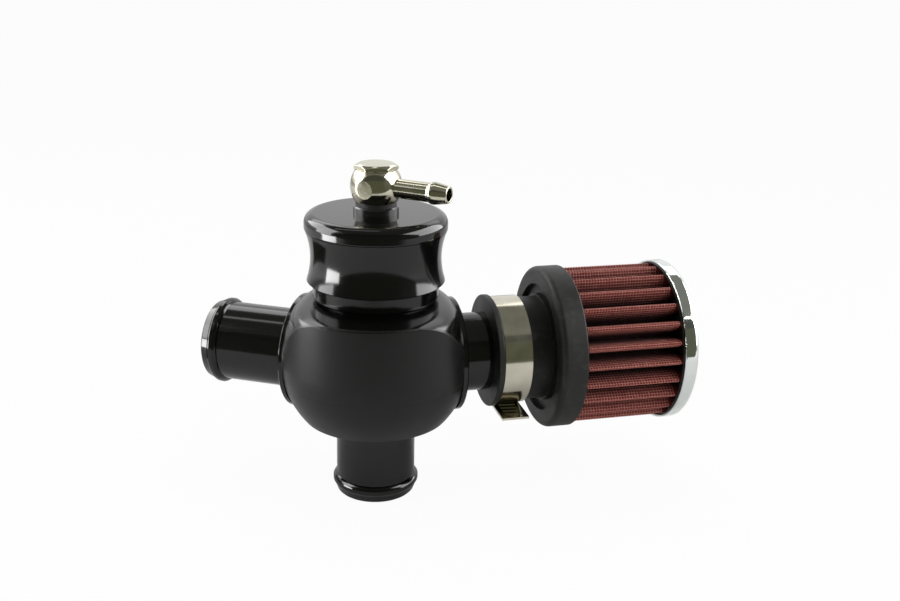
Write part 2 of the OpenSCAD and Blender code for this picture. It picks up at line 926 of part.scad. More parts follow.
module filter_core() {
    core_len = media_end - media_z;
    color("#77797c")
        on_port(1)
            translate([0, 0, media_z])
                difference() {
                    ring(core_r, core_in_r, core_len);
                    for (i = [0 : core_slots / 2 - 1])
                        rotate([0, 0, 360 * i / core_slots])
                            translate([-core_r - over, -core_slot_w / 2, core_end])
                                cube([2 * core_r + 2 * over, core_slot_w, core_len - 2 * core_end]);
                }
}

module end_ring() {
    color("#141414")
        on_port(1)
            translate([0, 0, end_ring_z])
                difference() {
                    ring(end_ring_r + seat_fit, core_in_r - end_ring_in, end_ring_end - end_ring_z);
                    translate([0, 0, -over])
                        ring(media_r + seat_fit, core_in_r - seat_fit, media_end - end_ring_z + over);
                }
}

// Half section of the end cap, along the port axis.
module end_section() {
    difference() {
        difference() {
            square([end_cap_r, end_cap_w]);
            translate([end_cap_r - end_round, end_cap_w - end_round])
                difference() {
                    square(end_round + over);
                    circle(r = end_round, $fn = 64);
                }
        }
        polygon([
            [-over, end_cap_w - dish_d],
            [end_cap_r - dish_rim - dish_slope, end_cap_w - dish_d],
            [end_cap_r - dish_rim, end_cap_w],
            [end_cap_r - dish_rim, end_cap_w + over],
            [-over, end_cap_w + over]
        ]);
        translate([-over, -over])
            square([end_ring_r + 2 * seat_fit + over, end_pocket + over]);
    }
}

module end_cap() {
    color("#d8dadd")
        on_port(1)
            translate([0, 0, end_cap_z])
                rotate_extrude()
                    end_section();
}

module clamp_band() {
    last_notch = floor((band_tail - 2 * notch_margin) / notch_pitch);
    notch_start = notch_margin - band_tail;
    color("#c2beac")
        on_port(1)
            translate([0, 0, band_z])
                difference() {
                    union() {
                        ring(band_r + band_t, band_r, band_w);
                        translate([tail_x - band_join, -band_tail, 0])
                            cube([band_t, band_tail + housing_len / 2, band_w]);
                    }
                    for (i = [0 : last_notch], face = [-over, band_t - notch_d])
                        translate([tail_x - band_join + face, notch_start + i * notch_pitch, band_w / 2])
                            rotate([notch_slant, 0, 0])
                                translate([0, 0, -notch_len / 2])
                                    cube([over + notch_d, notch_w, notch_len]);
                    cylinder(r = band_r, h = band_w);
                }
}

// Cross section of the screw housing, across the band.
module housing_section() {
    difference() {
        union() {
            translate([housing_x, -band_w / 2])
                square([housing_wall, band_w]);
            translate([housing_x, -housing_arch_r])
                square([worm_x - housing_x, 2 * housing_arch_r]);
            intersection() {
                translate([worm_x, 0])
                    circle(r = housing_arch_r);
                translate([housing_x, -housing_arch_r])
                    square([worm_x - housing_x + housing_arch_r, 2 * housing_arch_r]);
            }
        }
        translate([worm_x, 0])
            circle(r = worm_hole_r);
        translate([housing_x - over, -worm_hole_r])
            square([worm_x - housing_x + over, 2 * worm_hole_r]);
    }
}

// Places a part on the tangent line under the clamp, drawn along +Z towards the band end.
module on_clamp() {
    on_port(1)
        translate([0, 0, band_z + band_w / 2])
            rotate([90, 0, 0])
                children();
}

module clamp_housing() {
    color("#b7b3a2")
        on_clamp()
            translate([0, 0, -housing_len / 2 - housing_back])
                linear_extrude(height = housing_len)
                    housing_section();
}

module clamp_screw() {
    slot_z = housing_len + face_fit + screw_head - driver_slot_d;
    color("#a8a595")
        on_clamp()
            translate([worm_x, 0, -housing_len / 2 - housing_back])
                difference() {
                    union() {
                        cylinder(r = screw_r, h = housing_len + face_fit + over);
                        translate([0, 0, housing_len + face_fit])
                            cylinder(d = screw_flats / cos(hex_half), h = screw_head, $fn = 6);
                    }
                    translate([-driver_slot_w / 2, -screw_flats, slot_z])
                        cube([driver_slot_w, 2 * screw_flats, driver_slot_d + over]);
                }
}

body();
inlet_tail();
recirc_tail();
vent_tail();
inlet_o_ring();
recirc_o_ring();
vent_o_ring();
piston();
lower_guide_ring();
upper_guide_ring();
seat_seal();
spring();
spring_seat();
cap();
cap_o_ring();
seat_ring();
swivel_washer();
swivel();
banjo_bolt();
filter_base();
filter_media();
filter_core();
end_ring();
end_cap();
clamp_band();
clamp_housing();
clamp_screw();
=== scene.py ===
"""Looks of the blow off valve.

Finishes for the CAD frame, and the gauze, wires and thread that the CAD leaves out. Sizes are in
millimetres and turn into metres where a mesh is made. The part stands on its inlet with +Z up.
"""

import logging
import math
from dataclasses import dataclass
from enum import Enum
from typing import Any, ClassVar

import bmesh
import bpy
from mathutils import Matrix, Vector


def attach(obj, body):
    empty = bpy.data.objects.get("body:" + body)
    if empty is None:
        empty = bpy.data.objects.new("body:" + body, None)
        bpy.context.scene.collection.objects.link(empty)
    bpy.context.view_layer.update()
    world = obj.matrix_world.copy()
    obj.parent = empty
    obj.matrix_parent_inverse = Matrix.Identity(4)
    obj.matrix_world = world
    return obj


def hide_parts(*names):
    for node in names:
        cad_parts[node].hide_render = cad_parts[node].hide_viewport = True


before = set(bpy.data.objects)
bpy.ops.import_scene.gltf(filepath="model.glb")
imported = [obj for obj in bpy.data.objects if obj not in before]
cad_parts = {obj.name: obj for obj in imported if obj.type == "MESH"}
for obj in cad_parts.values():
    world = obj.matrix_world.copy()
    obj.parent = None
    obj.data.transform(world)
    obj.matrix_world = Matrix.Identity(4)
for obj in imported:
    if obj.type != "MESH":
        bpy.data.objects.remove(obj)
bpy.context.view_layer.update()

LOG = logging.getLogger("blow_off_valve")
MM = 0.001
DOUBLES = 1e-6
PORT_HEIGHT = 44.4
PORT_SWEEP = math.radians(15)
WHITE = "ffffff"
# Socket numbers of a Mix node: the factor, A and B for numbers and for colours, and the mixed colour.
MIX, NUMBER_A, NUMBER_B, COLOUR_A, COLOUR_B, COLOUR = 0, 2, 3, 6, 7, 2
# Socket numbers of a Map Range node.
FROM_MIN, FROM_MAX, TO_MIN, TO_MAX = 1, 2, 3, 4
# A wave texture repeats after this length at scale 1.
WAVE_REPEAT = math.tau / 20

Point = tuple[float, float, float]


class Body(Enum):
    """CAD bodies that the scene's own pieces ride on."""

    VALVE = "valve"


class Slot(Enum):
    """Material slots of the record."""

    ANODISED = "anodised"
    BLACK_RING = "black_ring"
    SEAL_RUBBER = "seal_rubber"
    PISTON_METAL = "piston_metal"
    GUIDE_PLASTIC = "guide_plastic"
    SPRING_STEEL = "spring_steel"
    NICKEL = "nickel"
    FILTER_RUBBER = "filter_rubber"
    GAUZE = "gauze"
    END_PLATE = "end_plate"
    CLAMP_STEEL = "clamp_steel"


class Spindle(Enum):
    """Axes that turned parts are round: each is a place in millimetres and a turn in radians."""

    UPRIGHT = ((0, 0, 0), (0, 0, 0))
    VENT = ((0, 0, PORT_HEIGHT), (0, math.pi / 2, PORT_SWEEP))

    def matrix(self) -> Matrix:
        """Gives the axis as a placing matrix.

        Returns:
            Matrix that takes a part turned about +Z to its place, in metres.
        """
        place, turn = self.value
        where = Matrix.Translation(Vector(place) * MM)
        return where @ Matrix.Rotation(turn[2], 4, "Z") @ Matrix.Rotation(turn[1], 4, "Y")


def linear(code: str) -> tuple[float, float, float, float]:
    """Turns an sRGB hex code into the linear colour that the shaders use.

    Args:
        code: colour as six hex digits.

    Returns:
        Red, green, blue and alpha, linear.
    """
    parts = [int(code[i : i + 2], 16) / 255 for i in (0, 2, 4)]
    red, green, blue = [p / 12.92 if p <= 0.04045 else ((p + 0.055) / 1.055) ** 2.4 for p in parts]
    return red, green, blue, 1.0


def add_node(
    tree: bpy.types.NodeTree,
    kind: str,
    settings: dict[str, Any] | None = None,
    inputs: dict[str | int, Any] | None = None,
) -> bpy.types.Node:
    """Adds one node, sets it up and fills its inputs.

    Args:
        tree: shader or geometry tree that takes the node.
        kind: type name of the node.
        settings: the node's own settings by name.
        inputs: for each input's name or number, the socket it is linked from or its plain value.

    Returns:
        The node.
    """
    node = tree.nodes.new(kind)
    for name, value in (settings or {}).items():
        setattr(node, name, value)
    for name, value in (inputs or {}).items():
        if isinstance(value, bpy.types.NodeSocket):
            tree.links.new(value, node.inputs[name])
        else:
            node.inputs[name].default_value = value
    return node


@dataclass(frozen=True)
class Finish:
    """A surface as it left its process.

    Its two shades lie in wide patches. Its relief is a fine grain, which runs round the spindle where
    the surface was turned. Plating that builds up rounds the edges over that radius. Patch, relief,
    grain and build-up are in millimetres.
    """

    name: str
    slot: Slot
    shades: tuple[str, str]
    rough: tuple[float, float]
    patch: float
    relief: float
    grain: float
    metallic: float = 0.0
    specular: float = 0.5
    spindle: Spindle = Spindle.UPRIGHT
    turned: bool = False
    build_up: float = 0.0
    patch_detail: ClassVar[float] = 5.0
    grain_detail: ClassVar[float] = 3.0
    grain_share: ClassVar[float] = 0.5
    noise_low: ClassVar[float] = 0.3
    noise_high: ClassVar[float] = 0.7
    edge_samples: ClassVar[int] = 8

    def material(self) -> bpy.types.Material:
        """Makes the material, or finds the one made before.

        Returns:
            The material.
        """
        made = bpy.data.materials.get(self.name)
        if made:
            return made
        made = bpy.data.materials.new(self.name)
        made.use_nodes = True
        tree = made.node_tree
        tree.nodes.clear()
        shader = add_node(
            tree,
            "ShaderNodeBsdfPrincipled",
            inputs={"Metallic": self.metallic, "Specular IOR Level": self.specular},
        )
        add_node(tree, "ShaderNodeOutputMaterial", inputs={"Surface": shader.outputs[0]})
        self.paint(tree, shader)
        return made

    def place(self, tree: bpy.types.NodeTree) -> bpy.types.NodeSocket:
        """Gives the point on the part in the frame of its own axis.

        Args:
            tree: the material's tree.

        Returns:
            Socket with the point, in metres.
        """
        where, turn = self.spindle.value
        coords = add_node(tree, "ShaderNodeTexCoord")
        mapped = add_node(
            tree,
            "ShaderNodeMapping",
            {"vector_type": "TEXTURE"},
            {"Vector": coords.outputs["Object"], "Location": Vector(where) * MM, "Rotation": turn},
        )
        return mapped.outputs[0]

    def lathe_place(self, tree: bpy.types.NodeTree, point: bpy.types.NodeSocket) -> bpy.types.NodeSocket:
        """Gives the point's distance from the axis and its height, the same all the way round.

        Args:
            tree: the material's tree.
            point: socket with the point in the frame of the axis.

        Returns:
            Socket with radius, zero and height, in metres.
        """
        x, y, z = add_node(tree, "ShaderNodeSeparateXYZ", inputs={0: point}).outputs
        flat = add_node(tree, "ShaderNodeCombineXYZ", inputs={"X": x, "Y": y})
        radius = add_node(tree, "ShaderNodeVectorMath", {"operation": "LENGTH"}, {0: flat.outputs[0]})
        both = add_node(tree, "ShaderNodeCombineXYZ", inputs={"X": radius.outputs["Value"], "Z": z})
        return both.outputs[0]

    def paint(self, tree: bpy.types.NodeTree, shader: bpy.types.Node) -> None:
        """Colours the surface: wide patches of shade, and a fine relief that is turned or grained.

        Args:
            tree: the material's tree.
            shader: the surface shader to fill.
        """
        point = self.place(tree)
        patches = add_node(
            tree,
            "ShaderNodeTexNoise",
            inputs={"Vector": point, "Scale": 1 / (self.patch * MM), "Detail": self.patch_detail},
        )
        dark, light = (linear(code) for code in self.shades)
        shade = add_node(
            tree,
            "ShaderNodeMix",
            {"data_type": "RGBA"},
            {MIX: patches.outputs[0], COLOUR_A: dark, COLOUR_B: light},
        )
        tree.links.new(shade.outputs[COLOUR], shader.inputs["Base Color"])
        lines = self.lathe_place(tree, point) if self.turned else point
        grain = add_node(
            tree,
            "ShaderNodeTexNoise",
            inputs={"Vector": lines, "Scale": 1 / (self.grain * MM), "Detail": self.grain_detail},
        )
        both = add_node(
            tree,
            "ShaderNodeMix",
            {"data_type": "FLOAT"},
            {MIX: self.grain_share, NUMBER_A: patches.outputs[0], NUMBER_B: grain.outputs[0]},
        )
        smoothest, roughest = self.rough
        rough = add_node(
            tree,
            "ShaderNodeMapRange",
            inputs={
                "Value": both.outputs[0],
                FROM_MIN: self.noise_low,
                FROM_MAX: self.noise_high,
                TO_MIN: smoothest,
                TO_MAX: roughest,
            },
        )
        tree.links.new(rough.outputs[0], shader.inputs["Roughness"])
        bump = add_node(
            tree, "ShaderNodeBump", inputs={"Height": grain.outputs[0], "Distance": self.relief * MM}
        )
        if self.build_up:
            edges = add_node(
                tree, "ShaderNodeBevel", {"samples": self.edge_samples}, {"Radius": self.build_up * MM}
            )
            tree.links.new(edges.outputs[0], bump.inputs["Normal"])
        tree.links.new(bump.outputs[0], shader.inputs["Normal"])


@dataclass(frozen=True)
class MouldedRubber(Finish):
    """Moulded rubber: grey bloom that gathers in clouds."""

    bloom: str = "4c4c4d"
    bloom_patch: float = 3.2
    bloom_from: ClassVar[float] = 0.5
    bloom_full: ClassVar[float] = 0.78
    bloom_share: ClassVar[float] = 0.75
    cloud_detail: ClassVar[float] = 8.0
    cloud_rough: ClassVar[float] = 0.7

    def paint(self, tree: bpy.types.NodeTree, shader: bpy.types.Node) -> None:
        """Adds the bloom over the base shades.

        Args:
            tree: the material's tree.
            shader: the surface shader to fill.
        """
        super().paint(tree, shader)
        base = shader.inputs["Base Color"].links[0].from_socket
        clouds = add_node(
            tree,
            "ShaderNodeTexNoise",
            inputs={
                "Vector": self.place(tree),
                "Scale": 1 / (self.bloom_patch * MM),
                "Detail": self.cloud_detail,
                "Roughness": self.cloud_rough,
            },
        )
        spread = add_node(
            tree,
            "ShaderNodeMapRange",
            inputs={
                "Value": clouds.outputs[0],
                FROM_MIN: self.bloom_from,
                FROM_MAX: self.bloom_full,
                TO_MAX: self.bloom_share,
            },
        )
        shade = add_node(
            tree,
            "ShaderNodeMix",
            {"data_type": "RGBA"},
            {MIX: spread.outputs[0], COLOUR_A: base, COLOUR_B: linear(self.bloom)},
        )
        tree.links.new(shade.outputs[COLOUR], shader.inputs["Base Color"])


@dataclass(frozen=True)
class BlastedBarrel(Finish):
    """A blasted barrel whose shoulder and sides were machined afterwards and kept the cutter's gloss."""

    wall_radius: float = 29.5
    machined_from: float = 40.0
    machined_rough: float = 0.18

    def paint(self, tree: bpy.types.NodeTree, shader: bpy.types.Node) -> None:
        """Smooths what lies inside the barrel's wall and above the underside.

        Args:
            tree: the material's tree.
            shader: the surface shader to fill.
        """
        super().paint(tree, shader)
        blasted = shader.inputs["Roughness"].links[0].from_socket
        lathe = self.lathe_place(tree, self.place(tree))
        radius, _, height = add_node(tree, "ShaderNodeSeparateXYZ", inputs={0: lathe}).outputs
        inside = add_node(
            tree, "ShaderNodeMath", {"operation": "LESS_THAN"}, {0: radius, 1: self.wall_radius * MM}
        )
        above = add_node(
            tree, "ShaderNodeMath", {"operation": "GREATER_THAN"}, {0: height, 1: self.machined_from * MM}
        )
        cut = add_node(
            tree, "ShaderNodeMath", {"operation": "MULTIPLY"}, {0: inside.outputs[0], 1: above.outputs[0]}
        )
        rough = add_node(
            tree,
            "ShaderNodeMix",
            {"data_type": "FLOAT"},
            {MIX: cut.outputs[0], NUMBER_A: blasted, NUMBER_B: self.machined_rough},
        )
        tree.links.new(rough.outputs[0], shader.inputs["Roughness"])


@dataclass(frozen=True)
class FoldedGauze(Finish):
    """Something that lies on the pleats, with painted shade that darkens it down in the folds."""

    # Colour of the painted shade at the bottom of the folds.
    painted_fold_shade: str = "120505"
    crest: float = 25.3
    root: float = 19.5

    def paint(self, tree: bpy.types.NodeTree, shader: bpy.types.Node) -> None:
        """Paints shade into the folds, by the distance from the axis.

        Args:
            tree: the material's tree.
            shader: the surface shader to fill.
        """
        super().paint(tree, shader)
        base = shader.inputs["Base Color"].links[0].from_socket
        lathe = self.lathe_place(tree, self.place(tree))
        radius = add_node(tree, "ShaderNodeSeparateXYZ", inputs={0: lathe}).outputs["X"]
        # Painted shade: darker towards the bottom of the folds, by the distance from the axis.
        fold_shade_depth = add_node(
            tree,
            "ShaderNodeMapRange",
            {"interpolation_type": "SMOOTHSTEP"},
            {"Value": radius, FROM_MIN: self.root * MM, FROM_MAX: self.crest * MM},
        )
        shade = add_node(
            tree,
            "ShaderNodeMix",
            {"data_type": "RGBA"},
            {MIX: fold_shade_depth.outputs[0], COLOUR_A: linear(self.painted_fold_shade), COLOUR_B: base},
        )
        tree.links.new(shade.outputs[COLOUR], shader.inputs["Base Color"])


@dataclass(frozen=True)
class OiledCotton(FoldedGauze):
    """Oiled cotton gauze: a plain weave of red yarn."""

    yarn: float = 0.55
    yarn_relief: float = 0.12
    yarn_wobble: ClassVar[float] = 0.6
    weave_share: ClassVar[float] = 0.7

    def paint(self, tree: bpy.types.NodeTree, shader: bpy.types.Node) -> None:
        """Weaves the yarn, drawn a little coarser than the real yarn so that it shows.

        Args:
            tree: the material's tree.
            shader: the surface shader to fill.
        """
        super().paint(tree, shader)
        base = shader.inputs["Base Color"].links[0].from_socket
        weave = add_node(tree, "ShaderNodeAttribute", {"attribute_name": "weave"})
        warp, weft = (
            add_node(
                tree,
                "ShaderNodeTexWave",
                {"bands_direction": way},
                {
                    "Vector": weave.outputs["Vector"],
                    "Scale": WAVE_REPEAT / (self.yarn * MM),
                    "Distortion": self.yarn_wobble,
                },
            ).outputs["Fac"]
            for way in ("X", "Y")
        )
        cloth = add_node(tree, "ShaderNodeMath", {"operation": "MAXIMUM"}, {0: warp, 1: weft})
        shade = add_node(
            tree,
            "ShaderNodeMix",
            {"data_type": "RGBA", "blend_type": "MULTIPLY"},
            {MIX: self.weave_share, COLOUR_A: base, COLOUR_B: cloth.outputs[0]},
        )
        tree.links.new(shade.outputs[COLOUR], shader.inputs["Base Color"])
        bump = add_node(
            tree, "ShaderNodeBump", inputs={"Height": cloth.outputs[0], "Distance": self.yarn_relief * MM}
        )
        tree.links.new(bump.outputs[0], shader.inputs["Normal"])


# Bead blasted, black anodised aluminium: deep black with a wide satin sheen, glossy where machined.
SATIN_BLACK = BlastedBarrel(
    "bead_blasted_black_anodising", Slot.ANODISED, ("080908", "0e0f0e"), rough=(0.31, 0.37),
    patch=14, relief=0.002, grain=0.3, specular=0.3,
)
# Turned, black anodised aluminium: the same black with crisp reflections and a very fine grain.
GLOSS_BLACK = Finish(
    "turned_black_anodising", Slot.ANODISED, ("060706", "0a0b0a"), rough=(0.1, 0.14),
    patch=10, relief=0.001, grain=0.3, specular=0.42,
)
# The same on a small turned ring, a little paler and with fine turning lines.
BLACK_RING = Finish(
    "black_anodised_turned_ring", Slot.BLACK_RING, ("121213", "1b1b1c"), rough=(0.18, 0.3),
    patch=4, relief=0.003, grain=0.25, specular=0.6, turned=True,
)
# Nitrile O-rings: soft black with a dry bloom.
SEAL = MouldedRubber(
    "nitrile_seal_rubber", Slot.SEAL_RUBBER, ("171717", "222222"), rough=(0.5, 0.65),
    patch=3, relief=0.01, grain=0.2, specular=0.35, bloom="2e2e2f",
)
# Turned aluminium: bright, with fine rings from the tool.
PISTON = Finish(
    "turned_aluminium", Slot.PISTON_METAL, ("b9bbbd", "d3d5d6"), rough=(0.2, 0.38),
    patch=6, relief=0.006, grain=0.16, metallic=1, turned=True,
)
# Bronze filled PTFE: waxy brown, no gloss.
GUIDE = Finish(
    "bronze_filled_ptfe", Slot.GUIDE_PLASTIC, ("59482c", "6e5b3b"), rough=(0.4, 0.55),
    patch=2.5, relief=0.008, grain=0.3, specular=0.4,
)
# Oil tempered spring steel: mid grey, slightly dull.
SPRING = Finish(
    "oil_tempered_spring_steel", Slot.SPRING_STEEL, ("66686b", "85878a"), rough=(0.25, 0.4),
    patch=3, relief=0.006, grain=0.2, metallic=1,
)
# Nickel plated brass: warm mirror with faint smears, its edges softened by the plating.
NICKEL = Finish(
    "nickel_plated_brass", Slot.NICKEL, ("bcb8a2", "d2cebb"), rough=(0.07, 0.15),
    patch=5, relief=0.0012, grain=0.4, metallic=1, build_up=0.3,
)
# Moulded filter rubber: matt charcoal under a grey bloom.
FILTER_RUBBER = MouldedRubber(
    "moulded_filter_rubber", Slot.FILTER_RUBBER, ("131412", "1e1f1d"), rough=(0.4, 0.56),
    patch=9, relief=0.01, grain=0.35, specular=0.3, spindle=Spindle.VENT, bloom="383a36", bloom_patch=5,
)
# Oiled cotton gauze: matt dark red yarn, with painted shade that sinks it to near black in the folds.
COTTON = OiledCotton(
    "oiled_cotton_gauze", Slot.GAUZE, ("6b2622", "83352f"), rough=(0.62, 0.8),
    patch=2.2, relief=0.03, grain=0.4, specular=0.25, spindle=Spindle.VENT,
)
# Epoxy coated wire gauze: dull pink metal where the oil has run off the wire, with painted shade that
# darkens it down in the folds.
WIRE = FoldedGauze(
    "epoxy_coated_wire", Slot.GAUZE, ("984840", "c07d70"), rough=(0.32, 0.5),
    patch=1.6, relief=0.01, grain=0.2, metallic=0.25, spindle=Spindle.VENT, painted_fold_shade="2a0c0a",
)
# Chrome plated pressing: mirror with faint polishing rings and a softly rounded edge.
CHROME = Finish(
    "chrome_plated_steel", Slot.END_PLATE, ("d4d9d6", "e8ebe8"), rough=(0.03, 0.07),
    patch=8, relief=0.0006, grain=0.5, metallic=1, spindle=Spindle.VENT, turned=True, build_up=0.9,
)
# Rolled stainless strip: warm grey with lines along the strip.
CLAMP = Finish(
    "rolled_stainless_strip", Slot.CLAMP_STEEL, ("b9b4a2", "d8d4c5"), rough=(0.09, 0.18),
    patch=4, relief=0.0015, grain=0.22, metallic=1, spindle=Spindle.VENT, turned=True,
)
# Zinc plated screw: pale grey, slightly cloudy.
ZINC = Finish(
    "zinc_plated_screw_steel", Slot.CLAMP_STEEL, ("a9aaa9", "c9cac6"), rough=(0.2, 0.34),
    patch=1.5, relief=0.004, grain=0.15, metallic=1,
)


class Rule:
    """A geometry node tree with named inputs, and the mesh that it makes."""

    def __init__(self, name: str, inputs: dict[str, float | int]) -> None:
        """Starts the tree.

        Args:
            name: name of the tree.
            inputs: named inputs with the values that this piece uses.
        """
        self.tree = bpy.data.node_groups.new(name, "GeometryNodeTree")
        self.values = inputs
        for key, value in inputs.items():
            kind = "NodeSocketInt" if isinstance(value, int) else "NodeSocketFloat"
            self.tree.interface.new_socket(key, in_out="INPUT", socket_type=kind)
        self.tree.interface.new_socket("Geometry", in_out="OUTPUT", socket_type="NodeSocketGeometry")
        self.inputs = self.tree.nodes.new("NodeGroupInput").outputs

    def node(
        self,
        kind: str,
        settings: dict[str, Any] | None = None,
        inputs: dict[str | int, Any] | None = None,
    ) -> bpy.types.bpy_prop_collection:
        """Adds a node to the tree.

        Args:
            kind: type name of the node.
            settings: the node's own settings by name.
            inputs: for each input's name or number, a socket or a plain value.

        Returns:
            The node's outputs.
        """
        return add_node(self.tree, kind, settings, inputs).outputs

    def mesh(self, geometry: bpy.types.NodeSocket, finish: Finish, place: Matrix) -> bpy.types.Mesh:
        """Ends the tree, runs it and keeps the result as a plain mesh.

        Args:
            geometry: socket with the geometry to keep.
            finish: finish of every face.
            place: where the mesh goes, from the tree's own axis.

        Returns:
            The mesh, with doubles merged and faces outward.
        """
        real = self.node("GeometryNodeRealizeInstances", inputs={0: geometry})
        dressed = self.node(
            "GeometryNodeSetMaterial", inputs={"Geometry": real[0], "Material": finish.material()}
        )
        add_node(self.tree, "NodeGroupOutput", inputs={0: dressed[0]})
        holder = bpy.data.objects.new(self.tree.name, bpy.data.meshes.new(self.tree.name))
        bpy.context.scene.collection.objects.link(holder)
        modifier = holder.modifiers.new(self.tree.name, "NODES")
        modifier.node_group = self.tree
        for item in self.tree.interface.items_tree:
            if item.in_out == "INPUT":
                modifier[item.identifier] = self.values[item.name]
        graph = bpy.context.evaluated_depsgraph_get()
        made = bpy.data.meshes.new_from_object(holder.evaluated_get(graph), depsgraph=graph)
        bpy.data.objects.remove(holder)
        made.transform(place)
        tidy(made)
        return made


def tidy(mesh: bpy.types.Mesh) -> None:
    """Merges doubled points and points every face outward.

    Args:
        mesh: mesh to clean, in metres.
    """
    work = bmesh.new()
    work.from_mesh(mesh)
    bmesh.ops.remove_doubles(work, verts=work.verts, dist=DOUBLES)
    bmesh.ops.recalc_face_normals(work, faces=work.faces)
    work.to_mesh(mesh)
    work.free()


def show(
    mesh: bpy.types.Mesh, name: str, body: Body, stands_for: str | None = None
) -> None:
    """Puts a finished mesh into the scene on its body.

    Args:
        mesh: the mesh, already in the part's frame.
        name: name of the piece.
        body: CAD body that it rides on.
        stands_for: CAD node that it replaces.
    """
    piece = bpy.data.objects.new(name, mesh)
    mesh.name = name
    bpy.context.scene.collection.objects.link(piece)
    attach(piece, body.value)
    if stands_for:
        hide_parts(stands_for)
    LOG.info("%s: %d faces on %s", name, len(mesh.polygons), body.value)


class SubAssembly:
    """Pieces of the valve that belong together, with the finish of each CAD node among them."""

    finishes: ClassVar[dict[str, Finish]] = {}

    def dress(self) -> None:
        """Gives each CAD node its finish."""
        for name, finish in self.finishes.items():
            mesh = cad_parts[name].data
            mesh.materials.clear()
            mesh.materials.append(finish.material())
            LOG.info("%s: %s", name, finish.name)

    def build(self) -> None:
        """Dresses the CAD nodes; a sub-assembly with pieces of its own adds them here."""
        self.dress()


@dataclass
class ValveBody(SubAssembly):
    """The body with its three hose tails and their O-rings, and the thread round its neck."""

    finishes: ClassVar[dict[str, Finish]] = {
        "body": SATIN_BLACK,
        "inlet_tail": GLOSS_BLACK,
        "recirc_tail": GLOSS_BLACK,
        "vent_tail": GLOSS_BLACK,
        "inlet_o_ring": SEAL,
        "recirc_o_ring": SEAL,
        "vent_o_ring": SEAL,
    }
    thread_radius: float = 16.85
    thread_start: float = 65.6
    thread_pitch: float = 1.5
    thread_turns: float = 3.2
    thread_ridge: float = 0.5
    thread_corners: int = 3
    thread_steps: int = 60

    def thread_mesh(self) -> bpy.types.Mesh:
        """Winds a ridge with a three cornered section round the neck, right-handed.

        Returns:
            The mesh of the thread.
        """
        rule = Rule(
            "neck_thread",
            {
                "Radius": self.thread_radius * MM,
                "Turns": self.thread_turns,
                "Rise": self.thread_turns * self.thread_pitch * MM,
                "Ridge": self.thread_ridge * MM,
                "Corners": self.thread_corners,
                "Steps": self.thread_steps,
            },
        )
        helix = rule.node(
            "GeometryNodeCurveSpiral",
            inputs={
                "Resolution": rule.inputs["Steps"],
                "Rotations": rule.inputs["Turns"],
                "Start Radius": rule.inputs["Radius"],
                "End Radius": rule.inputs["Radius"],
                "Height": rule.inputs["Rise"],
                "Reverse": True,
            },
        )
        upright = rule.node("GeometryNodeSetCurveNormal", {"mode": "Z_UP"}, {0: helix[0]})
        section = rule.node(
            "GeometryNodeCurvePrimitiveCircle",
            inputs={"Resolution": rule.inputs["Corners"], "Radius": rule.inputs["Ridge"]},
        )
        ridge = rule.node(
            "GeometryNodeCurveToMesh",
            inputs={"Curve": upright[0], "Profile Curve": section[0], "Fill Caps": True},
        )
        return rule.mesh(ridge[0], GLOSS_BLACK, Matrix.Translation((0, 0, self.thread_start * MM)))

    def build(self) -> None:
        """Dresses the body and adds the thread."""
        self.dress()
        show(self.thread_mesh(), "neck_thread", Body.VALVE)


class PistonGroup(SubAssembly):
    """The piston with its rings and seal, the spring and its seat."""

    finishes: ClassVar[dict[str, Finish]] = {
        "piston": PISTON,
        "lower_guide_ring": GUIDE,
        "upper_guide_ring": GUIDE,
        "seat_seal": SEAL,
        "spring": SPRING,
        "spring_seat": PISTON,
    }


class CapGroup(SubAssembly):
    """The screw cap with its O-ring."""

    finishes: ClassVar[dict[str, Finish]] = {"cap": GLOSS_BLACK, "cap_o_ring": SEAL}


class HoseFitting(SubAssembly):
    """The swivel hose nipple on its bolt, with the ring and the washer below it."""

    finishes: ClassVar[dict[str, Finish]] = {
        "seat_ring": BLACK_RING,
        "swivel_washer": SEAL,
        "swivel": NICKEL,
        "banjo_bolt": NICKEL,
    }


class HoseClamp(SubAssembly):
    """The worm screw clamp on the filter neck."""

    finishes: ClassVar[dict[str, Finish]] = {
        "clamp_band": CLAMP,
        "clamp_housing": CLAMP,
        "clamp_screw": ZINC,
    }


